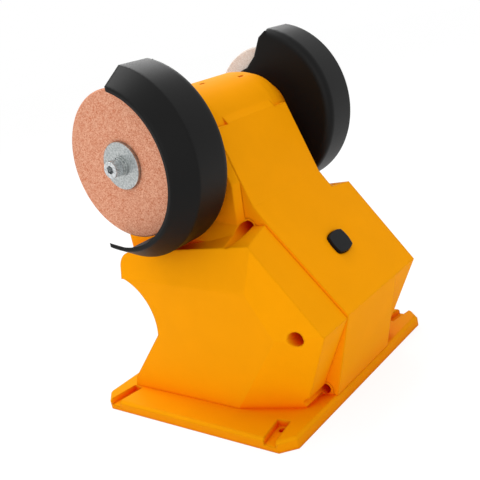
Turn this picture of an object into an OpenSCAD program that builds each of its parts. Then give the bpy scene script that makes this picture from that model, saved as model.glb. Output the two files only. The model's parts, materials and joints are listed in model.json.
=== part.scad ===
// Cordless mini bench grinder: two-piece housing on a screw-down plate,
// a double-shaft motor in the head, a wheel and an open guard on each side.
// X runs along the spindle, Y to the rear, Z up. Units are millimetres.

/* [Base plate] */
// Plate width along the spindle
plate_w = 152.8; // [146:0.2:170]
// Plate depth, front to rear
plate_d = 138.6; // [138:0.2:150]
// Plate thickness
plate_t = 6.5; // [5.5:0.1:8]
// Corner chamfer of the plate
plate_cut = 7.4; // [4:0.2:9]
// Rounding-off of the plate's upper edge
plate_edge = 1.4; // [0.8:0.1:2]
// Width of a screw channel
channel_w = 7.4; // [6:0.1:9]
// Depth of a screw channel
channel_t = 3.5; // [2:0.1:4]
// Length of a screw channel behind its screw
channel_back = 3.6; // [2.6:0.1:4]
// Turn of a screw channel toward its corner
channel_turn = 9; // [0:1:12]
// Bench screw hole
bench_hole = 3.6; // [3:0.1:5]
// Bench screw in from the plate's sides
bench_in = 13.9; // [12:0.1:14]
// Bench screw in from the plate's front and rear edges
bench_rear = 14.3; // [12:0.1:16]

/* [Housing] */
// Width over the two side faces
body_w = 116; // [112:0.5:118]
// Moulded wall
wall = 2.6; // [2:0.1:3.2]
// Width of the neck and of the raised rear panel
neck_w = 64; // [62:0.5:68]
// Step from the raised panel down to the cover
panel_step = 1.3; // [0.6:0.1:2]
// Seam between the housing halves
seam = 0.1; // [0.05:0.05:0.2]
// Height of the rear corner above the bench
corner_h = 53.7; // [50:0.5:58]
// Reach of the rear corner behind the spindle plane
corner_y = 82.9; // [80:0.5:86]

/* [Head] */
// Spindle height above the bench
spindle_h = 147.5; // [146:0.5:152]
// Barrel radius over the motor
barrel_r = 28; // [27:0.2:30]
// Length of each tapered end of the barrel
dome_l = 13; // [10:0.5:16]
// Collar radius at the barrel ends
collar_r = 25; // [24.2:0.2:26]
// Length over the collars
head_l = 73; // [72:0.5:76]
// Boss radius that carries a guard
boss_r = 19; // [17.5:0.25:21]

/* [Guards] */
// Distance between the inner faces of the guards
guard_gap = 93.5; // [92:0.5:97]
// Drum radius
drum_r = 49.2; // [47:0.2:50]
// Drum width up to the crease
drum_w = 23; // [21:0.5:25]
// Width of the tapered rim
rim_w = 11.6; // [10:0.2:13]
// Rim radius
rim_r = 41.8; // [41:0.1:44]
// Guard wall
guard_t = 2.2; // [1.8:0.1:2.6]
// Upper cut, behind the spindle
guard_top_cut = 12.8; // [10:0.2:16]
// Reach of the lower horn ahead of the spindle
horn_reach = 13.5; // [9:0.5:17]
// Slant of the lower cut, seen from above
horn_turn = 0; // [-10:1:30]

/* [Wheels] */
// Wheel diameter
wheel_d = 76; // [70:0.5:77]
// Wheel thickness
wheel_t = 18; // [16:0.5:19]
// Wheel bore
wheel_bore = 10; // [9:0.5:11]
// Clearance from guard to wheel
wheel_gap = 4.15; // [3.6:0.05:5]
// Clamp washer diameter
washer_d = 24; // [22:0.5:26]
// Clamp washer thickness
washer_t = 1.8; // [1.5:0.1:2.2]
// Clamp bolt thread
bolt_d = 5; // [4:0.1:5.2]

/* [Motor] */
// Motor can radius
can_r = 21; // [20.6:0.1:21.2]
// Motor can length
can_l = 60; // [58:0.5:60.5]
// Can sheet
can_t = 1.4; // [1:0.1:1.6]
// Motor shaft diameter
shaft_d = 5; // [4.6:0.1:5.2]
// Air gap between armature and magnets
air_gap = 0.6; // [0.5:0.05:0.8]

/* [Button] */
// Cap width across the panel
cap_w = 14; // [12:0.2:15]
// Cap height up the panel
cap_h = 12.6; // [11:0.2:13.6]
// Cap standing proud of the panel
cap_proud = 1.8; // [1.7:0.1:3]
// Clearance round the cap
cap_gap = 0.35; // [0.3:0.05:0.5]
// Press travel
cap_travel = 1.5; // [1:0.1:1.6]
// Sideways place of the cap on the panel
cap_x = -4.8; // [-8:0.2:0]

/* [Battery] */
// Cell diameter
cell_d = 18.4; // [18:0.1:18.8]
// Cell length
cell_l = 65; // [60:0.5:66]
// Cell pitch
cell_pitch = 20; // [19.4:0.1:21]

/* [Hidden] */
$fn = 64;
far = 400;
fit = 0.03;
loose = 0.3;
half_w = body_w / 2;
neck_x = neck_w / 2;
plate_x = plate_w / 2;
plate_y = plate_d / 2;
spindle_y = -2.5;
guard_x = guard_gap / 2;
wheel_x = guard_x + guard_t + wheel_gap;
wheel_end = wheel_x + wheel_t;
washer_end = wheel_end + washer_t;
bolt_r = bolt_d / 2;

// corners of the moulded facets on the +X side
ridge_top = [half_w - 5.8, 50.6, spindle_h - 48.4];
ridge_far = [half_w - 9.6, 49, spindle_h - 46.2];
ridge_low = [half_w - 8.5, corner_y, corner_h];
fold_mid = [half_w, 58, corner_h - 2.6];
fold_top = [half_w, 44.8, spindle_h - 72];
fold_low = [half_w, 24, plate_t];
foot_rear = [half_w - 13, 59.6, plate_t];
shoulder_front = [half_w, -42, spindle_h - 69.5];
shoulder_nose = [half_w, -36.8, spindle_h - 55];
shoulder_in = [neck_x + 0.4, 47.7, spindle_h - 44.4];
panel_tilt = atan2(corner_y - ridge_top[1], ridge_top[2] - corner_h);
panel_lean = 90 - panel_tilt;
panel_out = [0, cos(panel_tilt), sin(panel_tilt)];
panel_reach = panel_out * [0, corner_y, corner_h];
back_foot = plate_y;
lid_low = [neck_x, 34.6, spindle_h - 38.5];
lid_edge = [neck_x, 36, spindle_h - 21.5];
lid_head = [neck_x, spindle_y + 29.1, spindle_h + 6.2];
lid_t = 4;
lid_bevel = 3;
neck_fold = [40.8, (panel_reach - 40.8 * cos(panel_tilt)) / sin(panel_tilt)];
roof_x = neck_x - 11;
neck_ridge = [spindle_y + 28.9, spindle_h + 6.8];
seam_rear = 47.7;
seam_in = neck_x - 5.2;

// slots in the top of the barrel: place along it, turn to the rear
head_slots = [[9, 14], [-18.5, 25]];
slot_l = 4;
slot_w = 1.2;
slot_t = 1;

// front outline of the housing
front_foot = -57.3;
front_knee = [-54.6, 13];
waist = [-25.8, 44.5];
scoop = [-53.4, 51.7];
scoop_r = 28.5;
nose = [-36.4, spindle_h - 62.5];
nose_r = 8;
front_lean = atan2(waist[1] - front_knee[1], waist[0] - front_knee[0]);

// case screws, along the spindle direction
case_y = [35.2, 68.3, 62.4];
case_z = [spindle_h - 46.1, corner_h - 1.7, plate_t + 3.4];
case_seat = [neck_x - 12, neck_x - 8, neck_x - 14];
case_floor = 2.5;
case_head_r = 2.8;
case_head_h = 2.2;
case_pin_r = 1.5;
case_pin_l = 15;
case_bore_r = [3.8, 4, 3];
tube_wall = 1.2;
tube_gap = 0.15;
post_r = 4.4;

// gusset between shoulder and neck, from the upper case screw forward
ramp_rear = [neck_x + 1, case_y[0], case_z[0] + case_bore_r[0]];
ramp_mid = [neck_x + 8.6, 30.9, spindle_h - 47.2];
ramp_fore = [neck_x + 12.3, 21.5, spindle_h - 48.5];
ramp_front = [neck_x + 14.2, -41];

// motor and spindle
motor_bore = can_r + loose;
bearing_r = 8;
bearing_w = 5;
neb_r = bearing_r + 1;
neb_l = 4;
can_x = can_l / 2;
shaft_r = shaft_d / 2;
shaft_x = guard_x - 1;
core_r = 15.4;
magnet_in = core_r + air_gap;
core_l = 26;
core_off = -3;
arbor_r = 6.5;
arbor_in = can_x + neb_l + 4;
flange_t = wheel_gap - 1.2;
spigot_r = wheel_bore / 2 - fit;
spigot_end = wheel_end - 0.6;
boss_hole = arbor_r + 1.3;
guard_screw_r = 15.8;
guard_pin_r = 1.4;
guard_pin_l = 8;
guard_head_r = 2.4;
guard_head_h = 1.6;

hub_r = 27.4;
drum_y = spindle_y - 1;
brush_x = 20;
comm_r = 5.6;
set_x = can_x + neb_l + 7;
set_r = 1.5;

// bolt stack outside the clamp washer
small_washer_t = 0.9;
small_washer_r = 5.2;
lock_t = 1.2;
lock_r = 4.6;
bolt_head_h = 5;
bolt_head_r = 4.25;
bolt_key = 4;
bolt_len = 14;
lock_x = washer_end + small_washer_t;
head_x = lock_x + lock_t;

// button, switch and control board, measured square to the panel
cap_y = 63.9;
cap_z = (panel_reach - cap_y * cos(panel_tilt)) / sin(panel_tilt);
cap_round = 8.3;
cap_bulge = 15;
cap_flange = 1.2;
cap_flange_t = 1.2;
cap_stem_r = 2;
flange_top = wall + loose;
stem_tip = flange_top + cap_flange_t + 3;
switch_top = stem_tip + cap_travel + loose;
switch_t = 8;
switch_w = 9;
board_in = switch_top + switch_t;
board_t = 1.6;
board_w = 44;
board_h = 26;
post_x = 17;

// battery pack on the base plate
cell_r = cell_d / 2;
cell_mid = [-14, 4, plate_t + 4 + cell_r];
cell_half = cell_l / 2;
holder_in = 4;
holder_t = 2;
holder_edge = 2.4;
strap_t = 0.4;
holder_feet = [cell_mid[0] - cell_half + 1, cell_mid[0] + cell_half - 1];
holder_rows = [cell_mid[1] - cell_pitch / 2, cell_mid[1] + cell_pitch / 2];
board_mid = [cap_x, cap_y - (board_in + board_t) * cos(panel_tilt),
  cap_z - (board_in + board_t) * sin(panel_tilt)];

// charge socket in the far side face
socket_w = 9;
socket_h = 3.4;
socket_l = 7.5;
socket_y = 8;
socket_z = 44;
socket_flange = 2;

// base screws, the first three into the deep shell
foot_x = [-46, 20, -40, 44, 40];
foot_y = [-36, -36, 46, -36, 36];
foot_pin_r = 1.5;
foot_pin_l = 12;
foot_post_r = 4;
foot_post_h = 15;
foot_head_r = 2.8;
foot_head_h = 2.4;

// leads
lead_r = 0.9;

// keeps what lies behind the plane through three corners
module behind(p, q, r, inset = 0) {
  across = cross(q - p, r - p);
  out = across / norm(across);
  rotate([0, acos(out[2]), atan2(out[1], out[0])])
    translate([-far, -far, out * p - inset - 2 * far])
      cube(2 * far);
}

// turns a front-to-rear outline into a solid between two X places
module side_slab(x0, x1) {
  translate([x0, 0, 0])
    rotate([90, 0, 90])
      linear_extrude(x1 - x0)
        children();
}

// cylinder along X
module bar(r, x0, x1, y = spindle_y, z = spindle_h) {
  translate([x0, y, z])
    rotate([0, 90, 0])
      cylinder(r = r, h = x1 - x0);
}

// the side outline with its scooped waist and round nose
module outline(inset, low) {
  s = inset / sin(front_lean);
  difference() {
    union() {
      polygon([
        [front_foot + s, low],
        [front_knee[0] + s, front_knee[1]],
        [waist[0] + inset, waist[1] - inset / 2],
        [nose[0] - nose_r + inset, shoulder_front[2]],
        [nose[0] - nose_r + inset, nose[1]],
        [nose[0] + inset, nose[1] + nose_r - inset],
        [nose[0] + inset, 2 * nose[1]],
        [2 * nose[1], 2 * nose[1]],
        [2 * nose[1], low]]);
      translate(nose)
        circle(r = nose_r - inset);
    }
    intersection() {
      translate(scoop)
        circle(r = scoop_r + inset);
      translate([-far, waist[1] - inset / 2])
        square([2 * far, shoulder_front[2] - waist[1]]);
    }
  }
}

// one faceted cheek, from the middle out to the +X side face
module cheek(inset, sink, low, top = ridge_top) {
  intersection() {
    side_slab(-1, half_w - inset)
      outline(inset, low);
    behind(fold_mid, ridge_low, top, inset);
    behind(fold_low, foot_rear, fold_mid, inset);
    behind(shoulder_front, fold_top, top, inset);
    behind(shoulder_nose, top, shoulder_in, inset);
    rotate([-panel_lean, 0, 0])
      translate([-far, -far, panel_reach - sink - inset - 2 * far])
        cube(2 * far);
    behind(ridge_low, foot_rear, foot_rear - [20, 0, 0], inset);
  }
}

// outline of the upright spine: rear face, button panel, neck and head
module spine_outline(inset, low) {
  tall = corner_h - plate_t;
  polygon([
    [-22 + inset, low],
    [back_foot - 0.3 - inset, low],
    [back_foot - 0.3 - inset, plate_t],
    [corner_y - 1.25 * inset, corner_h + 0.2 * inset],
    [neck_fold[0] - inset, neck_fold[1] - 0.4 * inset],
    [neck_ridge[0] - 1.1 * inset, neck_ridge[1] - 1.3 * inset],
    [spindle_y + 16, spindle_h + barrel_r * 0.82 - inset],
    [spindle_y, spindle_h + barrel_r * 0.9 - inset],
    [spindle_y - barrel_r + 2 + inset, spindle_h],
    [ramp_front[1] + inset, shoulder_nose[2] - 2],
    [-22 + inset, 60]]);
}

// plan of the spine: the rear part narrows toward the back on the cover side
module spine_plan(inset) {
  polygon([
    [-neck_x + inset, -far],
    [neck_x - inset, -far],
    [neck_x - inset, seam_rear],
    [seam_in - inset, corner_y],
    [seam_in - inset, far],
    [-seam_in + inset, far],
    [-seam_in + inset, corner_y],
    [-neck_x + inset, seam_rear]]);
}

module spine(inset, low) {
  intersection() {
    side_slab(-neck_x + inset, neck_x - inset)
      spine_outline(inset, low);
    linear_extrude(far)
      spine_plan(inset);
  }
}

// region on the cover side of the seam
module cover_zone(gap) {
  linear_extrude(far)
    polygon([
      [neck_x + gap, -far],
      [neck_x + gap, seam_rear],
      [seam_in + gap, corner_y],
      [seam_in + gap, far],
      [far, far],
      [far, -far]]);
}

// hollow of both cheeks, taken from the moulded outside
module cheek_hollow() {
  cheek(wall, panel_step, -1);
  mirror([1, 0, 0])
    cheek(wall, 0, -1, ridge_far);
}

// places one child at each case screw, outward along its axis
module at_case_screws() {
  for (i = [0 : 2]) {
    $bore = case_bore_r[i];
    translate([case_seat[i], case_y[i], case_z[i]])
      rotate([0, 90, 0])
        children();
  }
}

// room of the cover's screw tubes, the lowest with a foot down to the plate
module tube_room(gap) {
  at_case_screws()
    translate([0, 0, -case_floor])
      cylinder(r = $bore + tube_wall + gap, h = half_w);
  foot = case_bore_r[2] + tube_wall + gap;
  translate([case_seat[2] - case_floor, case_y[2] - foot, 0])
    cube([half_w, 2 * foot, case_z[2]]);
}

// places children at the three screws of one guard, outward along X
module at_guard_screws() {
  for (turn = [60, 180, 300])
    translate([guard_x + guard_t, spindle_y, spindle_h])
      rotate([turn, 0, 0])
        translate([0, guard_screw_r, 0])
          rotate([0, 90, 0])
            children();
}

// places children square to the button panel, outward along Z
module on_panel() {
  translate([cap_x, cap_y, cap_z])
    rotate([-panel_lean, 0, 0])
      children();
}

// repeats the +X child on both sides
module both_sides() {
  children();
  mirror([1, 0, 0])
    children();
}

// rounded square with bulging sides
module cap_shape(grow) {
  w = cap_w / 2 + grow;
  h = cap_h / 2 + grow;
  intersection() {
    translate([cap_bulge - w, 0])
      circle(r = cap_bulge);
    translate([w - cap_bulge, 0])
      circle(r = cap_bulge);
    translate([0, cap_bulge - h])
      circle(r = cap_bulge);
    translate([0, h - cap_bulge])
      circle(r = cap_bulge);
    circle(r = cap_round + grow);
  }
}

// straight round piece between two points
module rod(a, b, r) {
  run = b - a;
  translate(a)
    rotate([0, acos(run[2] / norm(run)), atan2(run[1], run[0])])
      cylinder(r = r, h = norm(run));
}

// lead through a list of points, with round bends
module lead(points, r) {
  last = len(points) - 1;
  for (i = [0 : last - 1])
    rod(points[i], points[i + 1], r);
  for (i = [1 : last - 1])
    translate(points[i])
      sphere(r = r * 1.25);
}

// screw post on the plate, with a rib to the nearest wall
module foot_post(i) {
  ahead = foot_y[i] > 0 ? 0 : -far;
  translate([foot_x[i], foot_y[i], plate_t]) {
    cylinder(r = foot_post_r, h = foot_post_h);
    translate([-1.2, ahead, 0])
      cube([2.4, far, foot_post_h]);
  }
}

// the moulded outside of the deep shell, without its barrel
module main_outside() {
  mirror([1, 0, 0]) {
    cheek(0, 0, plate_t, ridge_far);
    shoulder_ramp(ramp_fore[1]);
  }
  difference() {
    cheek(0, panel_step, plate_t);
    cover_zone(0);
  }
  difference() {
    spine(0, plate_t);
    both_sides()
      translate([roof_x, spindle_y, neck_ridge[1] - 0.6])
        cube([far, far, far]);
  }
}

// deep housing: far cheek, rear panel, neck and motor barrel
module main_shell() {
  color("#f5a014")
    difference() {
      union() {
        difference() {
          main_outside();
          cheek_hollow();
          spine(wall, -1);
        }
        head_skin(-head_l / 2, neck_x);
        bar(boss_r, -guard_x, -head_l / 2 + 1);
        intersection() {
          main_outside();
          at_case_screws()
            translate([0, 0, -case_pin_l - 2])
              cylinder(r = post_r, h = case_pin_l + 2 - case_floor - fit);
        }
        intersection() {
          main_outside();
          union() {
            for (i = [0 : 2])
              foot_post(i);
            for (i = [0 : 2])
              translate([case_seat[i] - case_pin_l - 2, case_y[i], case_z[i] - 1.25])
                cube([case_pin_l + 2 - case_floor - fit, far, 2.5]);
          }
        }
        on_panel()
          for (s = [-1, 1])
            translate([s * post_x, 0, -board_in])
              cylinder(r = 3, h = board_in - wall / 2);
      }
      bar(motor_bore, -can_x - 0.4, neck_x + 1);
      bar(neb_r + loose, -can_x - neb_l - 0.5, 0);
      bar(boss_hole, -guard_x - 1, 0);
      translate([neck_x - 9, spindle_y - 7, spindle_h - barrel_r - 2])
        cube([10, 14, barrel_r]);
      at_case_screws()
        translate([0, 0, -case_pin_l - 1])
          cylinder(r = case_pin_r + fit, h = case_pin_l);
      tube_room(tube_gap);
      for (i = [0 : 2])
        translate([foot_x[i], foot_y[i], plate_t - 1])
          cylinder(r = foot_pin_r + fit, h = foot_pin_l);
      on_panel() {
        translate([0, 0, -2 * wall])
          linear_extrude(4 * wall)
            cap_shape(cap_gap);
        for (s = [-1, 1])
          translate([s * post_x, 0, -board_in - 1])
            cylinder(r = 1 + fit, h = 8);
      }
      for (at = head_slots)
        translate([at[0], spindle_y, spindle_h])
          rotate([-at[1], 0, 0])
            translate([-slot_l / 2, -slot_w / 2, barrel_r - slot_t])
              cube([slot_l, slot_w, barrel_r]);
      mirror([1, 0, 0])
        at_guard_screws()
          translate([0, 0, -guard_t - guard_pin_l - 1])
            cylinder(r = guard_pin_r + fit, h = guard_pin_l + 2);
      translate([-half_w - 1, socket_y - socket_w / 2 - loose, socket_z - loose])
        cube([wall + 2, socket_w + 2 * loose, socket_h + 2 * loose]);
    }
}

// side wall of the neck, with a bevelled rear edge
module neck_lid() {
  intersection() {
    side_slab(neck_x - 1, neck_x + lid_t)
      polygon([[ramp_front[1] + 2, nose[1] + 4],
        [lid_low[1], nose[1] + 8],
        [lid_low[1], lid_low[2]],
        [lid_edge[1], lid_edge[2]],
        [lid_head[1], lid_head[2]],
        [spindle_y, lid_head[2]],
        [spindle_y - barrel_r + 4, spindle_h]]);
    behind(lid_low, lid_edge, lid_low + [lid_t, -lid_bevel, 0]);
    behind(lid_edge, lid_head, lid_edge + [lid_t, -0.94 * lid_bevel, -0.34 * lid_bevel]);
  }
}

// sloped gusset along the foot of the neck, back to a given place
module shoulder_ramp(rear) {
  intersection() {
    translate([neck_x - 1, ramp_front[1], shoulder_front[2]])
      cube([ramp_front[0] - neck_x + 1, rear - ramp_front[1], case_z[0]]);
    behind(ramp_rear, ramp_fore, ramp_mid);
  }
}

// turned skin of the head between two X places
module head_skin(x0, x1) {
  intersection() {
    translate([0, spindle_y, spindle_h])
      rotate([0, 90, 0])
        rotate_extrude()
          polygon([[0, -head_l / 2], [collar_r, -head_l / 2],
            [barrel_r - 1, -head_l / 2 + dome_l / 2], [barrel_r, -head_l / 2 + dome_l],
            [barrel_r, head_l / 2 - dome_l], [barrel_r - 1, head_l / 2 - dome_l / 2],
            [collar_r, head_l / 2], [0, head_l / 2]]);
    translate([x0, -far / 2, 0])
      cube([x1 - x0, far, far]);
  }
}

// near housing half, screwed on from its own side
module side_cover() {
  color("#f5a014")
    difference() {
      union() {
        difference() {
          cheek(0, panel_step, plate_t);
          cheek(wall, panel_step, -1);
        }
        neck_lid();
        shoulder_ramp(case_y[0]);
        head_skin(neck_x - 1, head_l / 2);
        bar(boss_r, head_l / 2 - 1, guard_x);
        intersection() {
          cheek(0, panel_step, plate_t);
          for (i = [3 : 4])
            foot_post(i);
        }
        intersection() {
          union() {
            cheek(0, panel_step, plate_t);
            spine(0, plate_t);
            shoulder_ramp(case_y[0]);
          }
          tube_room(0);
        }
      }
      difference() {
        translate([-far / 2, -far / 2, -1])
          cube([far, far, far]);
        cover_zone(seam);
        tube_room(0);
      }
      bar(neb_r + loose, 0, can_x + neb_l + 0.5);
      bar(boss_hole, 0, guard_x + 1);
      at_case_screws() {
        cylinder(r = $bore, h = half_w);
        translate([0, 0, -case_pin_l])
          cylinder(r = case_pin_r + 0.2, h = case_pin_l + 1);
      }
      for (i = [3 : 4])
        translate([foot_x[i], foot_y[i], plate_t - 1])
          cylinder(r = foot_pin_r + fit, h = foot_pin_l);
      at_guard_screws()
        translate([0, 0, -guard_t - guard_pin_l - 1])
          cylinder(r = guard_pin_r + fit, h = guard_pin_l + 2);
    }
}

// flat tray with cut corners and a bevelled upper edge
module plate_body() {
  corners = [
    [-plate_x + plate_cut, -plate_y], [plate_x - plate_cut, -plate_y],
    [plate_x, -plate_y + plate_cut], [plate_x, plate_y - plate_cut],
    [plate_x - plate_cut, plate_y], [-plate_x + plate_cut, plate_y],
    [-plate_x, plate_y - plate_cut], [-plate_x, -plate_y + plate_cut]];
  intersection() {
    linear_extrude(plate_t)
      polygon(corners);
    intersection_for (i = [0 : 7]) {
      a = [corners[i][0], corners[i][1], plate_t - plate_edge];
      b = [corners[(i + 1) % 8][0], corners[(i + 1) % 8][1], plate_t - plate_edge];
      run = (b - a) / norm(b - a);
      behind(a, b, a + plate_edge * [-run[1], run[0], 1]);
    }
  }
}

// screw-down plate with four channels open to the sides
module base_plate() {
  color("#ee990f")
    difference() {
      plate_body();
      both_sides()
        for (s = [-1, 1])
          translate([plate_x - bench_in, s * (plate_y - bench_rear), plate_t])
            rotate([0, 0, s * channel_turn]) {
              translate([-channel_back, -channel_w / 2, -channel_t])
                cube([channel_back + 2 * bench_in, channel_w, 2 * channel_t]);
              translate([0, 0, -2 * plate_t])
                cylinder(d = bench_hole, h = 3 * plate_t);
            }
      for (i = [0 : 4])
        translate([foot_x[i], foot_y[i], -1]) {
          cylinder(r = foot_pin_r + 0.2, h = plate_t + 2);
          cylinder(r = foot_head_r + loose, h = foot_head_h + 1.4);
        }
      for (x = holder_feet, y = holder_rows)
        translate([x, y, plate_t - 4])
          cylinder(r = 1.2, h = 5);
    }
}

// long screws that hold the side cover
module case_screws() {
  color("#8c9096")
    at_case_screws()
      difference() {
        union() {
          cylinder(r = case_head_r, h = case_head_h);
          translate([0, 0, -case_pin_l])
            cylinder(r = case_pin_r, h = case_pin_l + 1);
        }
        translate([0, 0, case_head_h - 1])
          cross_slot(3.2);
      }
}

// screws from below into the shell posts
module plate_screws() {
  color("#8c9096")
    for (i = [0 : 4])
      translate([foot_x[i], foot_y[i], 0.4])
        difference() {
          union() {
            cylinder(r = foot_head_r, h = foot_head_h);
            cylinder(r = foot_pin_r, h = plate_t + foot_pin_l - 2);
          }
          translate([0, 0, -1])
            cross_slot(3.2);
        }
}

// cross recess of a screw head
module cross_slot(size) {
  for (turn = [0, 90])
    rotate([0, 0, turn])
      translate([-size / 2, -0.4, 0])
        cube([size, 0.8, 2]);
}

// wall of a guard in radius and width
module guard_wall() {
  bend = 4.5;
  difference() {
    union() {
      polygon([[0, bend], [drum_r, bend], [drum_r, drum_w],
        [rim_r, drum_w + rim_w], [0, drum_w + rim_w]]);
      square([drum_r - bend, bend + 1]);
      translate([drum_r - bend, bend])
        circle(r = bend);
    }
    polygon([[-1, bend], [drum_r - guard_t, bend], [drum_r - guard_t, drum_w],
      [rim_r - guard_t, drum_w + rim_w], [rim_r - guard_t, far], [-1, far]]);
    translate([-1, guard_t])
      square([drum_r - bend + 1, bend]);
    translate([drum_r - bend, bend])
      circle(r = bend - guard_t);
  }
}

// open wheel guard: drum with a tapered rim, cut away toward the user
module guard() {
  web = [[spindle_y + guard_top_cut, spindle_h + drum_r - 3],
    [spindle_y + guard_top_cut - 5, spindle_h + drum_r - 6],
    [spindle_y + 2, spindle_h + 33],
    [spindle_y - 6, spindle_h + 26],
    [spindle_y + guard_top_cut + 1, spindle_h + 16]];
  difference() {
    union() {
      difference() {
        translate([guard_x, drum_y, spindle_h])
          rotate([0, 90, 0])
            rotate_extrude()
              guard_wall();
        translate([guard_x - 1, spindle_y + guard_top_cut - far, spindle_h])
          cube([far, far, far]);
        translate([guard_x + drum_w + rim_w, spindle_y - horn_reach, 0])
          rotate([0, 0, -horn_turn])
            translate([-far, -far, 0])
              cube([2 * far, far, spindle_h]);
      }
      bar(hub_r, guard_x, guard_x + guard_t);
      side_slab(guard_x, guard_x + guard_t)
        polygon(web);
    }
    bar(boss_hole + 1, guard_x - 1, guard_x + guard_t + 1);
    at_guard_screws()
      translate([0, 0, -guard_t - 1])
        cylinder(r = guard_pin_r + 0.2, h = guard_t + 2);
  }
}

module right_guard() {
  color("#2a2a2b")
    guard();
}

module left_guard() {
  color("#2a2a2b")
    mirror([1, 0, 0])
      guard();
}

module guard_screws() {
  color("#8c9096")
    both_sides()
      at_guard_screws()
        difference() {
          union() {
            cylinder(r = guard_head_r, h = guard_head_h);
            translate([0, 0, -guard_t - guard_pin_l + 0.5])
              cylinder(r = guard_pin_r, h = guard_t + guard_pin_l);
          }
          translate([0, 0, guard_head_h - 0.8])
            cross_slot(2.8);
        }
}

// deep-drawn can with its bearing nose
module motor_can() {
  color("#8f9499")
    difference() {
      union() {
        bar(can_r, -can_x, can_x);
        bar(neb_r, -can_x - neb_l, 0);
      }
      bar(can_r - can_t, -can_x + can_t, can_x + 1);
      bar(bearing_r + fit, -can_x - neb_l + 0.6, 0);
      bar(bearing_r - 2, -can_x - neb_l - 1, 0);
      translate([can_x - 4, spindle_y - 6, spindle_h - can_r - 1])
        cube([5, 12, 5]);
      for (turn = [0 : 60 : 300])
        translate([-can_x, spindle_y, spindle_h])
          rotate([turn, 0, 0])
            translate([-1, 14, 0])
              rotate([0, 90, 0])
                cylinder(r = 2.6, h = can_t + 2);
    }
}

// plastic brush end of the motor
module motor_end_cap() {
  color("#e6e2d8")
    difference() {
      union() {
        bar(can_r - can_t - fit, can_x - 4, can_x - 0.6);
        bar(neb_r, can_x - 1, can_x + neb_l);
      }
      bar(bearing_r + fit, can_x - neb_l - 1, can_x + neb_l - 0.6);
      bar(bearing_r - 2, 0, can_x + neb_l + 1);
    }
}

// two curved field magnets
module magnets() {
  color("#55585c")
    for (s = [0, 180])
      translate([core_off, spindle_y, spindle_h])
        rotate([s, 0, 0])
          intersection() {
            difference() {
              rotate([0, 90, 0])
                cylinder(r = can_r - can_t - fit, h = core_l + 4, center = true);
              rotate([0, 90, 0])
                cylinder(r = magnet_in, h = core_l + 6, center = true);
            }
            translate([0, 0, far / 2 + 6])
              cube([far, far, far], center = true);
          }
}

module motor_bearings() {
  color("#c8cbce")
    both_sides()
      difference() {
        bar(bearing_r, can_x + neb_l - 0.6 - bearing_w, can_x + neb_l - 0.6);
        bar(shaft_r + fit, 0, far);
        difference() {
          bar(bearing_r - 1.6, can_x + neb_l - 1.1, far);
          bar(shaft_r + 1.6, 0, far);
        }
      }
}

// guides on the brush end cap, one above and one below the commutator
module brush_holders() {
  color("#b98d4a")
    for (s = [0, 180])
      translate([brush_x, spindle_y, spindle_h])
        rotate([s, 0, 0])
          difference() {
            translate([-3.4, -3.4, comm_r + 2])
              cube([can_x - 4 - brush_x + 3.4, 6.8, 9]);
            translate([-2.5 - fit, -2.5 - fit, 0])
              cube([5 + 2 * fit, 5 + 2 * fit, comm_r + 10]);
          }
}

module brushes() {
  color("#2f2f31")
    for (s = [0, 180])
      translate([brush_x, spindle_y, spindle_h])
        rotate([s, 0, 0])
          translate([-2.5, -2.5, comm_r + fit])
            cube([5, 5, 6.4]);
}

module brush_springs() {
  color("#a9adb2")
    for (s = [0, 180])
      translate([brush_x, spindle_y, spindle_h])
        rotate([s, 0, 0])
          translate([0, 0, comm_r + 6.4 + fit])
            difference() {
              cylinder(r = 2.2, h = 3.5);
              translate([0, 0, -1])
                cylinder(r = 1.6, h = 6);
            }
}

// double-ended motor shaft
module motor_shaft() {
  color("#c4c8cc")
    bar(shaft_r, -shaft_x, shaft_x);
}

// slotted lamination stack
module armature_core() {
  color("#6d7176")
    difference() {
      bar(core_r, core_off - core_l / 2, core_off + core_l / 2);
      bar(shaft_r + fit, -far, far);
      for (turn = [0 : 72 : 288])
        translate([0, spindle_y, spindle_h])
          rotate([turn, 0, 0])
            translate([-far / 2, -1.5, core_r - 7])
              cube([far, 3, 8]);
    }
}

// end turns of the winding, kept plain
module armature_winding() {
  color("#b3673a")
    for (x = [core_off - core_l / 2 - 4, core_off + core_l / 2])
      difference() {
        bar(12.5, x, x + 4);
        bar(shaft_r + fit, -far, far);
      }
}

module commutator() {
  color("#c08552")
    difference() {
      bar(comm_r, brush_x - 4.5, brush_x + 4.5);
      bar(shaft_r + fit, -far, far);
      for (turn = [0 : 72 : 288])
        translate([0, spindle_y, spindle_h])
          rotate([turn, 0, 0])
            translate([-far / 2, -0.25, comm_r - 0.8])
              cube([far, 0.5, 2]);
    }
}

// cooling fan at the closed end of the can
module motor_fan() {
  fan_x = core_off - core_l / 2 - 4 - 5.4;
  color("#3b3d40")
    difference() {
      union() {
        bar(5, fan_x, fan_x + 5);
        bar(14, fan_x + 4, fan_x + 5);
        for (turn = [0 : 45 : 315])
          translate([fan_x, spindle_y, spindle_h])
            rotate([turn, 0, 0])
              translate([0.4, -0.5, 4])
                cube([4, 1, 9.6]);
      }
      bar(shaft_r + fit, -far, far);
    }
}

// wheel carrier on the shaft end: sleeve, flange and spigot
module arbor() {
  difference() {
    union() {
      bar(arbor_r, arbor_in, wheel_x);
      bar(washer_d / 2, wheel_x - flange_t, wheel_x);
      bar(spigot_r, wheel_x - 1, spigot_end);
    }
    bar(shaft_r + fit, 0, shaft_x + 0.3);
    bar(bolt_r + fit, wheel_end - bolt_len - 1, far);
    translate([set_x, spindle_y, spindle_h])
      cylinder(r = set_r + fit, h = far);
  }
}

module right_arbor() {
  color("#b9bdc2")
    arbor();
}

module left_arbor() {
  color("#b9bdc2")
    mirror([1, 0, 0])
      arbor();
}

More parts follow.
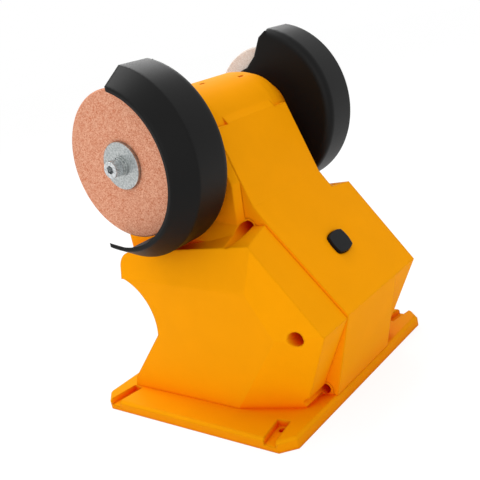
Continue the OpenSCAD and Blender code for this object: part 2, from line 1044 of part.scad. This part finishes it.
module arbor_set_screws() {
  color("#4a4d51")
    both_sides()
      translate([set_x, spindle_y, spindle_h + shaft_r + fit])
        difference() {
          cylinder(r = set_r, h = arbor_r - shaft_r - 0.3);
          translate([0, 0, 2])
            cylinder(r = 0.8, h = 4, $fn = 6);
        }
}

// bonded wheel with broken edges
module wheel() {
  edge = 0.8;
  translate([wheel_x, spindle_y, spindle_h])
    rotate([0, 90, 0])
      rotate_extrude()
        polygon([[wheel_bore / 2, 0], [wheel_d / 2 - edge, 0], [wheel_d / 2, edge],
          [wheel_d / 2, wheel_t - edge], [wheel_d / 2 - edge, wheel_t], [wheel_bore / 2, wheel_t]]);
}

module right_wheel() {
  color("#de9173")
    wheel();
}

module left_wheel() {
  color("#e4d6cc")
    mirror([1, 0, 0])
      wheel();
}

module ring_pair(r, bore, x0, x1) {
  both_sides()
    difference() {
      bar(r, x0, x1);
      bar(bore, 0, far);
    }
}

module clamp_washers() {
  color("#b4b9ba")
    ring_pair(washer_d / 2, bolt_r + 0.3, wheel_end, washer_end);
}

module small_washers() {
  color("#c3c8ca")
    ring_pair(small_washer_r, bolt_r + 0.2, washer_end, lock_x);
}

// split ring under the bolt head
module lock_washers() {
  color("#b0b5b8")
    both_sides()
      difference() {
        bar(lock_r, lock_x, head_x);
        bar(bolt_r + 0.1, 0, far);
        translate([lock_x - 1, spindle_y - 0.35, spindle_h])
          cube([lock_t + 2, 0.7, 2 * lock_r]);
      }
}

// socket head bolts into the arbor ends
module clamp_bolts() {
  color("#d3d8da")
    both_sides()
      difference() {
        union() {
          bar(bolt_r, wheel_end - bolt_len, head_x + 1);
          bar(bolt_head_r, head_x, head_x + bolt_head_h);
        }
        translate([head_x + bolt_head_h - 2.4, spindle_y, spindle_h])
          rotate([0, 90, 0])
            cylinder(d = bolt_key / cos(30), h = 4, $fn = 6);
      }
}

// press cap with a retaining flange behind the panel
module button_cap() {
  color("#26282c")
    on_panel() {
      translate([0, 0, -flange_top - 0.5])
        linear_extrude(flange_top + 0.5 + cap_proud)
          cap_shape(0);
      translate([0, 0, -flange_top - cap_flange_t])
        linear_extrude(cap_flange_t)
          cap_shape(cap_flange);
      translate([0, 0, -stem_tip])
        cylinder(r = cap_stem_r, h = stem_tip - flange_top);
    }
}

// push switch on the control board
module switch_body() {
  color("#1d1f22")
    on_panel() {
      translate([-switch_w / 2, -switch_w / 2, -board_in])
        cube([switch_w, switch_w, switch_t - 1.5]);
      translate([0, 0, -board_in])
        cylinder(r = 2.6, h = switch_t);
    }
}

// board on two posts behind the panel
module control_board() {
  color("#2c6b3f")
    on_panel()
      difference() {
        union() {
          translate([-board_w / 2, -board_h / 2, -board_in - board_t])
            cube([board_w, board_h, board_t]);
          translate([6, -10, -board_in - board_t - 3])
            cube([7, 5, 4]);
          translate([-13, 4, -board_in - board_t - 2])
            cube([9, 6, 3]);
        }
        for (s = [-1, 1])
          translate([s * post_x, 0, -board_in - board_t - 1])
            cylinder(r = 1.2, h = board_t + 2);
      }
}

module board_screws() {
  color("#8c9096")
    on_panel()
      for (s = [-1, 1])
        translate([s * post_x, 0, -board_in - board_t]) {
          translate([0, 0, -1.5])
            cylinder(r = 2, h = 1.5);
          cylinder(r = 1, h = board_t + 6);
        }
}

// places one child at each cell
module at_cells() {
  for (i = [-1 : 1])
    translate([cell_mid[0], cell_mid[1] + i * cell_pitch, cell_mid[2]])
      children();
}

module battery_cells() {
  color("#3f7fb5")
    at_cells()
      rotate([0, 90, 0])
        cylinder(r = cell_r, h = cell_l, center = true);
}

// end carriers of the battery pack, with feet on the base plate
module cell_holders() {
  span = 2 * cell_pitch + cell_d + 2 * holder_edge;
  color("#222427")
    difference() {
      for (s = [-1, 1])
        translate([cell_mid[0] + s * (cell_half + holder_t / 2 - holder_in / 2 + 0.2),
          cell_mid[1], plate_t]) {
          translate([-(holder_in + holder_t) / 2, -span / 2, 0])
            cube([holder_in + holder_t, span, cell_mid[2] + cell_r + holder_edge - plate_t]);
        }
      at_cells() {
        rotate([0, 90, 0])
          cylinder(r = cell_r + fit, h = cell_l + 0.4 + 2 * strap_t, center = true);
        rotate([0, 90, 0])
          cylinder(r = 3, h = far, center = true);
      }
      for (x = holder_feet, y = holder_rows)
        translate([x, y, plate_t - 1])
          cylinder(r = 1 + fit, h = 6);
    }
}

// nickel discs between cells and carriers
module cell_straps() {
  color("#c9cdd0")
    at_cells()
      for (s = [-1, 1])
        translate([s * (cell_half + 0.1 + strap_t / 2), 0, 0])
          rotate([0, 90, 0])
            cylinder(r = 6, h = strap_t, center = true);
}

// pins that hold the carriers to the base plate
module holder_screws() {
  color("#8c9096")
    for (x = holder_feet, y = holder_rows)
      translate([x, y, plate_t - 3.6])
        cylinder(r = 1, h = 8);
}

// charge socket behind the far side face
module charge_socket() {
  color("#9da2a6")
    difference() {
      union() {
        translate([-half_w + 0.6, socket_y - socket_w / 2, socket_z])
          cube([socket_l, socket_w, socket_h]);
        translate([-half_w + wall + 0.02, socket_y - socket_w / 2 - 2, socket_z - 1.6])
          cube([socket_flange, socket_w + 4, socket_h + 3.2]);
      }
      translate([-half_w, socket_y - socket_w / 2 + 0.5, socket_z + 0.5])
        cube([4.6, socket_w - 1, socket_h - 1]);
    }
}

// leads from the pack and the charge socket to the board
module battery_leads() {
  pack_end = cell_mid[0] + cell_half + holder_t + 0.2 + lead_r + fit;
  color("#b3221f")
    for (s = [0, 1])
      lead([[pack_end, cell_mid[1] - s * cell_pitch, cell_mid[2]],
        [pack_end, cell_mid[1] - s * cell_pitch, cell_mid[2] + 20],
        [cap_x + 6 + 4 * s, board_mid[1] - 4.4, board_mid[2] - 8.3],
        [cap_x + 6 + 4 * s, board_mid[1] - 1.1, board_mid[2] - 1.1 * tan(panel_tilt)]], lead_r);
}

// leads from the brush end down the neck to the board
module motor_leads() {
  top_x = can_x - 0.6 + 1.25 * lead_r + fit;
  color("#26282b")
    for (s = [-1, 1])
      lead([[top_x, spindle_y + 4 * s, spindle_h - neb_r - 3],
        [top_x, spindle_y + 4 * s, spindle_h - can_r + 2],
        [neck_x - 5, spindle_y + 4 * s, spindle_h - barrel_r - 4],
        [8 + 4 * s, 14, spindle_h - 49.5],
        [cap_x + 6 * s, board_mid[1] - 8, board_mid[2] + 2]], lead_r);
}

main_shell();
side_cover();
base_plate();
case_screws();
plate_screws();
right_guard();
left_guard();
guard_screws();
motor_can();
motor_end_cap();
magnets();
motor_bearings();
brush_holders();
brushes();
brush_springs();
motor_shaft();
armature_core();
armature_winding();
commutator();
motor_fan();
right_arbor();
left_arbor();
arbor_set_screws();
right_wheel();
left_wheel();
clamp_washers();
small_washers();
lock_washers();
clamp_bolts();
button_cap();
switch_body();
control_board();
board_screws();
battery_cells();
cell_holders();
cell_straps();
holder_screws();
charge_socket();
battery_leads();
motor_leads();
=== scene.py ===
import json
import math

import bpy
import numpy as np
from mathutils import Matrix

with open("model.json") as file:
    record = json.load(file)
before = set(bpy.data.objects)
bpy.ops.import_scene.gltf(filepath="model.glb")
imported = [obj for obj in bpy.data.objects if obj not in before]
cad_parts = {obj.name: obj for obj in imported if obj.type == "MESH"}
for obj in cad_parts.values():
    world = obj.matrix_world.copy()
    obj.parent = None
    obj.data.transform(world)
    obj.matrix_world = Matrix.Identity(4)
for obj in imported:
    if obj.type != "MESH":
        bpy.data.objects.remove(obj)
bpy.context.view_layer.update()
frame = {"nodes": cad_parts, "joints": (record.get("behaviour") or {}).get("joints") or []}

# Base plate: a flat injection-moulded tray that closes the housing from below.
# It is screwed up into the shell posts and carries the four bench-screw channels.
# Orange ABS: matt, with soft edges and a spark-eroded grain that breaks up the highlights.


def linear(code):
    """sRGB hex code to the linear colour that a shader socket takes."""
    value = np.array([int(code[i:i + 2], 16) for i in (1, 3, 5)]) / 255
    flat = np.where(value <= 0.04045, value / 12.92, ((value + 0.055) / 1.055) ** 2.4)
    return (*flat.tolist(), 1.0)


def node(owner, kind, settings=None, links=None):
    """Adds one shader node, sets its values and sockets, and links outputs into its inputs."""
    made = owner.node_tree.nodes.new(kind)
    for name, value in (settings or {}).items():
        if isinstance(name, str) and hasattr(made, name):
            setattr(made, name, value)
        else:
            made.inputs[name].default_value = value
    for name, source in (links or {}).items():
        owner.node_tree.links.new(source, made.inputs[name])
    return made


def blank(name):
    """A new material with an empty tree and its output node."""
    material = bpy.data.materials.new(name)
    material.use_nodes = True
    material.node_tree.nodes.clear()
    return material, node(material, "ShaderNodeOutputMaterial")


def dress(material, *nodes):
    """Gives the material to CAD nodes in place of the plain one they came with."""
    for name in nodes:
        frame["nodes"][name].data.materials.clear()
        frame["nodes"][name].data.materials.append(material)


def moulded(name, colour, deep, roughness, shine, grain_mm, depth_mm, edge_mm):
    """Moulded plastic: faint flow clouds, painted warmer shade, painted dark shade in bores, a grain,
    round edges.

    The painted warm shade spreads over a wide reach, the painted bore shade over a short one. A seam is
    narrower still, and keeps the plain colour. The real grain is about 0.1 mm, too fine to show, so it is
    drawn coarser.
    """
    cloud_mm, shade_mm, bore_mm, seam_mm = 22, 30, 9, 1
    gloss_swing = 0.06
    material, output = blank(name)
    place = node(material, "ShaderNodeTexCoord")
    flow = node(material, "ShaderNodeTexNoise", {"Scale": 1000 / cloud_mm, "Detail": 3.0},
                {"Vector": place.outputs["Object"]})
    grain = node(material, "ShaderNodeTexNoise", {"Scale": 1000 / grain_mm, "Detail": 2.0},
                 {"Vector": place.outputs["Object"]})
    tone = node(material, "ShaderNodeMapRange", {"To Min": 0.95, "To Max": 1.05},
                {"Value": flow.outputs["Fac"]})
    wide_sky = node(material, "ShaderNodeAmbientOcclusion", {"samples": 8, "Distance": shade_mm / 1000})
    # Painted shade: the hue turns redder where the surface is closed in over the wide reach.
    painted_shade_hue = node(material, "ShaderNodeMapRange",
                  {"From Min": 0.25, "From Max": 0.75, "To Min": 0.485, "To Max": 0.5},
                  {"Value": wide_sky.outputs["AO"]})
    tint = node(material, "ShaderNodeHueSaturation", {"Color": linear(colour)},
                {"Hue": painted_shade_hue.outputs["Result"], "Value": tone.outputs["Result"]})
    # Painted shade: bores and deep hollows take the deep colour, and narrow seams keep the plain one.
    bore_sky = node(material, "ShaderNodeAmbientOcclusion", {"samples": 8, "Distance": bore_mm / 1000})
    recess = node(material, "ShaderNodeMapRange",
                  {"From Min": 0.18, "From Max": 0.56, "To Min": 1.0, "To Max": 0.0},
                  {"Value": bore_sky.outputs["AO"]})
    seam_sky = node(material, "ShaderNodeAmbientOcclusion", {"samples": 8, "Distance": seam_mm / 1000})
    roomy = node(material, "ShaderNodeMapRange", {"From Min": 0.35, "From Max": 0.6},
                 {"Value": seam_sky.outputs["AO"]})
    painted_bore_shade = node(material, "ShaderNodeMath", {"operation": "MULTIPLY"},
                {0: recess.outputs["Result"], 1: roomy.outputs["Result"]})
    body = node(material, "ShaderNodeMixRGB", {"Color2": linear(deep)},
                {"Fac": painted_bore_shade.outputs[0], "Color1": tint.outputs["Color"]})
    gloss = node(material, "ShaderNodeMapRange",
                 {"To Min": roughness - gloss_swing, "To Max": roughness + gloss_swing},
                 {"Value": grain.outputs["Fac"]})
    edge = node(material, "ShaderNodeBevel", {"samples": 8, "Radius": edge_mm / 1000})
    bump = node(material, "ShaderNodeBump", {"Strength": 0.35, "Distance": depth_mm / 1000},
                {"Height": grain.outputs["Fac"], "Normal": edge.outputs["Normal"]})
    skin = node(material, "ShaderNodeBsdfPrincipled", {"IOR": 1.53, "Specular IOR Level": shine},
                {"Base Color": body.outputs["Color"], "Roughness": gloss.outputs["Result"],
                 "Normal": bump.outputs["Normal"]})
    material.node_tree.links.new(skin.outputs["BSDF"], output.inputs["Surface"])
    return material


# The second colour in each moulded() call is the painted shade in its bores.
dress(moulded("moulded orange ABS tray", "#F29C00", "#EA2600", 0.62, shine=0.03, grain_mm=0.8,
              depth_mm=0.03, edge_mm=2.0), "base_plate")

# Housing: the deep shell with head, neck and button panel, and the side cover screwed onto it.
# Both are moulded from the same matt orange ABS as the plate, and meet at the seam beside the panel.
dress(moulded("moulded orange ABS", "#F9A000", "#EA2600", 0.62, shine=0.03, grain_mm=0.8,
              depth_mm=0.03, edge_mm=1.5), "main_shell", "side_cover")

# Wheel guards: one-piece drums with a tapered rim, each fixed with three screws behind its wheel.
# Moulded in black polypropylene, with a fine grain that spreads the highlights into a soft grey.
dress(moulded("moulded black polypropylene", "#0B0B0B", "#050505", 0.46, shine=0.135, grain_mm=0.7,
              depth_mm=0.04, edge_mm=2.2), "right_guard", "left_guard")

# Grinding wheels: pressed and fired grit discs, one of pink and one of white alumina.
# The grains show as a fine speckle with dark pores between them, and scatter the light flatly.
# Each is clamped between washers on the spindle, and a painted shadow line rings the washer's seat.


def bonded_grit(name, body, light, pore, seat, grain_mm):
    """Fired grit: grain-sized cells in two tints, darker pores, a painted shadow at the clamp seat, a
    rough relief.

    Grit of this kind is about 0.25 mm wide, too fine to show, so the grains are drawn coarser.
    """
    seat_mm, pore_mm, relief_mm = 2.5, grain_mm * 1.6, grain_mm * 0.4
    material, output = blank(name)
    place = node(material, "ShaderNodeTexCoord")
    cells = node(material, "ShaderNodeTexVoronoi", {"Scale": 1000 / grain_mm},
                 {"Vector": place.outputs["Object"]})
    cloud = node(material, "ShaderNodeTexNoise",
                 {"Scale": 1000 / pore_mm, "Detail": 4.0, "Roughness": 0.7},
                 {"Vector": place.outputs["Object"]})
    tint = node(material, "ShaderNodeMixRGB", {"Color1": linear(body), "Color2": linear(light)},
                {"Fac": cells.outputs["Color"]})
    dark = node(material, "ShaderNodeMapRange",
                {"From Min": 0.28, "From Max": 0.4, "To Min": 1.0, "To Max": 0.0},
                {"Value": cloud.outputs["Fac"]})
    speckle = node(material, "ShaderNodeMixRGB", {"Color2": linear(pore)},
                   {"Fac": dark.outputs["Result"], "Color1": tint.outputs["Color"]})
    # Painted shadow: the wheel face turns to the seat colour where the washer closes it in.
    seat_sky = node(material, "ShaderNodeAmbientOcclusion", {"samples": 8, "Distance": seat_mm / 1000})
    painted_seat_shadow = node(material, "ShaderNodeMapRange",
                {"From Min": 0.4, "From Max": 0.8, "To Min": 0.75, "To Max": 0.0},
                {"Value": seat_sky.outputs["AO"]})
    face = node(material, "ShaderNodeMixRGB", {"Color2": linear(seat)},
                {"Fac": painted_seat_shadow.outputs["Result"], "Color1": speckle.outputs["Color"]})
    bump = node(material, "ShaderNodeBump", {"Strength": 0.6, "Distance": relief_mm / 1000},
                {"Height": cloud.outputs["Fac"]})
    skin = node(material, "ShaderNodeBsdfPrincipled", {"Roughness": 0.92, "Specular IOR Level": 0.15},
                {"Base Color": face.outputs["Color"], "Normal": bump.outputs["Normal"]})
    material.node_tree.links.new(skin.outputs["BSDF"], output.inputs["Surface"])
    return material


# The fourth colour of each wheel is its painted seat shadow.
dress(bonded_grit("fired pink alumina grit", "#C66F4A", "#F0BA9C", "#B05A3B", "#5A2314",
                  grain_mm=0.55), "right_wheel")
dress(bonded_grit("fired white alumina grit", "#DACCC0", "#F4EEE8", "#CBB9AC", "#6E6259",
                  grain_mm=0.6), "left_wheel")

# Washers and screws: pressed washers clamp each wheel, and screws hold case, plate, guards and board.
# Zinc-plated steel: a cool, half-dull shine in two tones, with painted shade where pieces meet.


def metal(name, colour, shade, roughness, spot_mm, edge_mm):
    """Bare or plated metal: spots run between two tones and vary the gloss, painted shade in gaps, round
    edges.
    """
    painted_gap_shade_colour, gap_mm, gloss_swing = "#2E2D2B", 3, 0.08
    material, output = blank(name)
    place = node(material, "ShaderNodeTexCoord")
    marks = node(material, "ShaderNodeTexNoise", {"Scale": 1000 / spot_mm, "Detail": 5.0},
                 {"Vector": place.outputs["Object"]})
    spread = node(material, "ShaderNodeMapRange", {"From Min": 0.35, "From Max": 0.65},
                  {"Value": marks.outputs["Fac"]})
    tone = node(material, "ShaderNodeMixRGB", {"Color1": linear(shade), "Color2": linear(colour)},
                {"Fac": spread.outputs["Result"]})
    # Painted shade: closed-in gaps, sockets and joints turn dark grey.
    gap_sky = node(material, "ShaderNodeAmbientOcclusion", {"samples": 8, "Distance": gap_mm / 1000})
    painted_gap_shade = node(material, "ShaderNodeMapRange",
               {"From Min": 0.12, "From Max": 0.66, "To Min": 1.0, "To Max": 0.0},
               {"Value": gap_sky.outputs["AO"]})
    body = node(material, "ShaderNodeMixRGB", {"Color2": linear(painted_gap_shade_colour)},
                {"Fac": painted_gap_shade.outputs["Result"], "Color1": tone.outputs["Color"]})
    gloss = node(material, "ShaderNodeMapRange",
                 {"To Min": roughness + gloss_swing, "To Max": roughness - gloss_swing},
                 {"Value": marks.outputs["Fac"]})
    edge = node(material, "ShaderNodeBevel", {"samples": 6, "Radius": edge_mm / 1000})
    skin = node(material, "ShaderNodeBsdfPrincipled", {"Metallic": 1.0},
                {"Base Color": body.outputs["Color"], "Roughness": gloss.outputs["Result"],
                 "Normal": edge.outputs["Normal"]})
    material.node_tree.links.new(skin.outputs["BSDF"], output.inputs["Surface"])
    return material


dress(metal("zinc-plated pressed steel", "#CBCECD", "#A0A5A5", 0.38, spot_mm=1.0, edge_mm=0.25),
      "clamp_washers", "small_washers", "lock_washers")
dress(metal("zinc-plated screw steel", "#A9ADAF", "#85898C", 0.4, spot_mm=1.5, edge_mm=0.15),
      "case_screws", "plate_screws", "guard_screws", "board_screws", "holder_screws")

# Clamp bolts: a socket-head bolt screwed into each spindle end, of bright drawn steel.
# The head's rim is knurled: ridges in a sine wave round the spindle axis, on the outer radius alone.
spindle = next(joint for joint in frame["joints"] if joint["name"] == "spindle_spin")
ridge_count, ridge_depth = 34.0, 0.0002
rim_from, rim_to = 0.0041, 0.0042
drawn = metal("bright drawn steel", "#DFE2E3", "#B4B8BA", 0.18, spot_mm=1.2, edge_mm=0.2)
spot = node(drawn, "ShaderNodeTexCoord")
offset = node(drawn, "ShaderNodeVectorMath", {"operation": "SUBTRACT", 1: tuple(spindle["pos_m"])},
              {0: spot.outputs["Object"]})
across = node(drawn, "ShaderNodeSeparateXYZ", {}, {"Vector": offset.outputs["Vector"]})
angle = node(drawn, "ShaderNodeMath", {"operation": "ARCTAN2"},
             {0: across.outputs["Y"], 1: across.outputs["Z"]})
phase = node(drawn, "ShaderNodeMath", {"operation": "MULTIPLY", 1: ridge_count}, {0: angle.outputs[0]})
wave = node(drawn, "ShaderNodeMath", {"operation": "SINE"}, {0: phase.outputs[0]})
radial = node(drawn, "ShaderNodeVectorMath", {"operation": "MULTIPLY", 1: (0.0, 1.0, 1.0)},
              {0: offset.outputs["Vector"]})
radius = node(drawn, "ShaderNodeVectorMath", {"operation": "LENGTH"}, {0: radial.outputs["Vector"]})
rim = node(drawn, "ShaderNodeMapRange", {"From Min": rim_from, "From Max": rim_to},
           {"Value": radius.outputs["Value"]})
height = node(drawn, "ShaderNodeMath", {"operation": "MULTIPLY"},
              {0: wave.outputs[0], 1: rim.outputs["Result"]})
drawn_skin = drawn.node_tree.nodes["Principled BSDF"]
ridges = node(drawn, "ShaderNodeBump", {"Strength": 1.0, "Distance": ridge_depth},
              {"Height": height.outputs[0],
               "Normal": drawn_skin.inputs["Normal"].links[0].from_socket})
drawn.node_tree.links.new(ridges.outputs["Normal"], drawn_skin.inputs["Normal"])
dress(drawn, "clamp_bolts")

# Push button: a cap with bulging sides, moulded in black ABS with a fine, half-matt grain.
# It slides in the panel's opening and is held by a flange behind the panel.
dress(moulded("moulded black ABS", "#101113", "#08080A", 0.42, shine=0.12, grain_mm=0.6,
              depth_mm=0.02, edge_mm=0.7), "button_cap")

# Motor and spindle: a double-shaft brushed motor in the barrel, with a turned arbor on each end.
# Plated can and shaft, sintered magnets, copper winding and commutator; seen only when taken apart.
dress(metal("turned steel", "#B4B8BC", "#989CA0", 0.3, spot_mm=0.8, edge_mm=0.2),
      "motor_shaft", "right_arbor", "left_arbor", "motor_bearings", "brush_springs")
dress(metal("plated deep-drawn steel", "#989DA2", "#84898E", 0.38, spot_mm=2.0, edge_mm=0.4),
      "motor_can")
dress(metal("stacked steel sheet", "#6E7277", "#55595E", 0.5, spot_mm=0.5, edge_mm=0.2),
      "armature_core", "magnets")
dress(metal("copper", "#B8703F", "#995A30", 0.35, spot_mm=0.5, edge_mm=0.2),
      "armature_winding", "commutator")
dress(metal("stamped brass", "#B9934F", "#9C7A3E", 0.35, spot_mm=1.0, edge_mm=0.2), "brush_holders")
dress(metal("black oxide steel", "#3A3C3F", "#2C2E31", 0.45, spot_mm=0.6, edge_mm=0.15),
      "arbor_set_screws")
dress(moulded("moulded glass-filled nylon", "#E4DFD3", "#B9B2A2", 0.5, shine=0.4, grain_mm=0.8,
              depth_mm=0.02, edge_mm=0.5), "motor_end_cap")
dress(moulded("pressed carbon", "#2B2B2D", "#1A1A1C", 0.7, shine=0.2, grain_mm=0.4,
              depth_mm=0.03, edge_mm=0.2), "brushes")

# Battery, board and leads: round cells in end carriers on the plate, and a board behind the button.
# Sleeved cells, nickel straps, green solder mask and PVC leads, behind the housing walls.
# Only the plated mouth of the charge socket shows, in the side face away from the cover.
dress(moulded("moulded black nylon", "#232427", "#141517", 0.5, shine=0.3, grain_mm=0.8,
              depth_mm=0.02, edge_mm=0.4), "cell_holders", "switch_body", "motor_fan")
dress(moulded("heat-shrunk PVC sleeve", "#3F7FB5", "#27567F", 0.3, shine=0.5, grain_mm=3.0,
              depth_mm=0.02, edge_mm=0.5), "battery_cells")
dress(metal("nickel strip", "#C4C7C9", "#A8ABAE", 0.3, spot_mm=1.0, edge_mm=0.1),
      "cell_straps", "charge_socket")
dress(moulded("green solder mask", "#2C6B3F", "#1A4526", 0.35, shine=0.5, grain_mm=1.0,
              depth_mm=0.01, edge_mm=0.2), "control_board")
dress(moulded("red PVC insulation", "#B3221F", "#7A1512", 0.45, shine=0.4, grain_mm=1.0,
              depth_mm=0.01, edge_mm=0.2), "battery_leads")
dress(moulded("black PVC insulation", "#26282B", "#151618", 0.45, shine=0.4, grain_mm=1.0,
              depth_mm=0.01, edge_mm=0.2), "motor_leads")

# Studio floor and surround: a white paper sweep that keeps the soft shadow, in a white room.
# Seen directly or in a reflection both are white. The light that they give the part is dimmer.
floor_half = 4.0
paper_share, paper_glow, room_fill = 0.8, 1.09, 0.69
floor_mesh = bpy.data.meshes.new("floor")
floor_mesh.from_pydata([(-floor_half, -floor_half, 0), (floor_half, -floor_half, 0),
                        (floor_half, floor_half, 0), (-floor_half, floor_half, 0)], [], [(0, 1, 2, 3)])
floor = bpy.data.objects.new("floor", floor_mesh)
bpy.context.collection.objects.link(floor)
paper, paper_out = blank("white paper sweep")
path = node(paper, "ShaderNodeLightPath")
seen = node(paper, "ShaderNodeMath", {"operation": "MAXIMUM"},
            {0: path.outputs["Is Camera Ray"], 1: path.outputs["Is Glossy Ray"]})
share = node(paper, "ShaderNodeMath", {"operation": "MULTIPLY", 1: paper_share}, {0: seen.outputs[0]})
matt = node(paper, "ShaderNodeBsdfDiffuse", {"Color": linear("#F4F4F4")})
glow = node(paper, "ShaderNodeEmission", {"Color": linear("#FFFFFF"), "Strength": paper_glow})
sheet = node(paper, "ShaderNodeMixShader", {},
             {0: share.outputs[0], 1: matt.outputs[0], 2: glow.outputs[0]})
paper.node_tree.links.new(sheet.outputs[0], paper_out.inputs["Surface"])
floor_mesh.materials.append(paper)

room = bpy.data.worlds.new("white surround")
bpy.context.scene.world = room
room.use_nodes = True
room.node_tree.nodes.clear()
path = node(room, "ShaderNodeLightPath")
direct = node(room, "ShaderNodeMath", {"operation": "MAXIMUM"},
              {0: path.outputs["Is Camera Ray"], 1: path.outputs["Is Glossy Ray"]})
bright = node(room, "ShaderNodeMath", {"operation": "MAXIMUM"},
              {0: direct.outputs[0], 1: path.outputs["Is Transmission Ray"]})
strength = node(room, "ShaderNodeMapRange", {"To Min": room_fill, "To Max": 1.0},
                {"Value": bright.outputs[0]})
walls = node(room, "ShaderNodeBackground", {"Color": linear("#FFFFFF")},
             {"Strength": strength.outputs["Result"]})
node(room, "ShaderNodeOutputWorld", {}, {"Surface": walls.outputs[0]})

# Softboxes: four square lamps round the part, at places in metres from the plate's centre.
# The overhead one is the strongest; the one beside the camera lifts the shade between guard and neck.


def softbox(name, place, aim, size, power):
    """A square area lamp at a place, turned to face the aim point."""
    lamp = bpy.data.lights.new(name, "AREA")
    lamp.size = size
    lamp.energy = power
    holder = bpy.data.objects.new(name, lamp)
    bpy.context.collection.objects.link(holder)
    back = np.array(place) - np.array(aim)
    back = back / np.linalg.norm(back)
    right = np.cross((0, 0, 1), back)
    right = right / np.linalg.norm(right)
    pose = np.eye(4)
    pose[:3, :4] = np.column_stack((right, np.cross(back, right), back, place))
    holder.matrix_world = Matrix(pose.tolist())


softbox("wheel-side softbox", place=(0.75, 0.15, 0.75), aim=(0, 0, 0.1), size=0.7, power=0.9)
softbox("overhead softbox", place=(0.05, -0.35, 1.0), aim=(0, 0, 0.15), size=0.5, power=3.8)
softbox("front softbox", place=(-0.73, -0.52, 0.75), aim=(0.05, 0, 0.18), size=0.5, power=3.0)
softbox("camera-side softbox", place=(0.8, 0.6, 0.25), aim=(0, 0, 0.1), size=0.7, power=1.7)

# Camera: the photograph's view, from the rear on the pink-wheel side, rolled as the picture is.
# The middle of the plate's underside lies centre_mm from the lens: to the right, up and ahead.
azimuth, elevation, roll = np.radians((131.57, 16.95, -12.28))
focal_px, frame_px, sensor_mm = 712.91, 480, 36.0
centre_mm = np.array((17.29, -75.90, 443.41))
back = np.array((math.sin(azimuth) * math.cos(elevation), -math.cos(azimuth) * math.cos(elevation),
                 math.sin(elevation)))
level = np.cross((0, 0, 1), back)
level = level / np.linalg.norm(level)
upright = np.cross(back, level)
right = math.cos(roll) * level + math.sin(roll) * upright
up = -math.sin(roll) * level + math.cos(roll) * upright
stand = (-centre_mm[0] * right - centre_mm[1] * up + centre_mm[2] * back) / 1000
view = np.eye(4)
view[:3, :4] = np.column_stack((right, up, back, stand))
lens = bpy.data.cameras.new("photo view")
lens.sensor_width = sensor_mm
lens.lens = focal_px / frame_px * sensor_mm
lens.clip_start = 0.01
camera = bpy.data.objects.new("photo view", lens)
bpy.context.collection.objects.link(camera)
camera.matrix_world = Matrix(view.tolist())
bpy.context.scene.camera = camera
bpy.context.scene.view_settings.view_transform = "Standard"
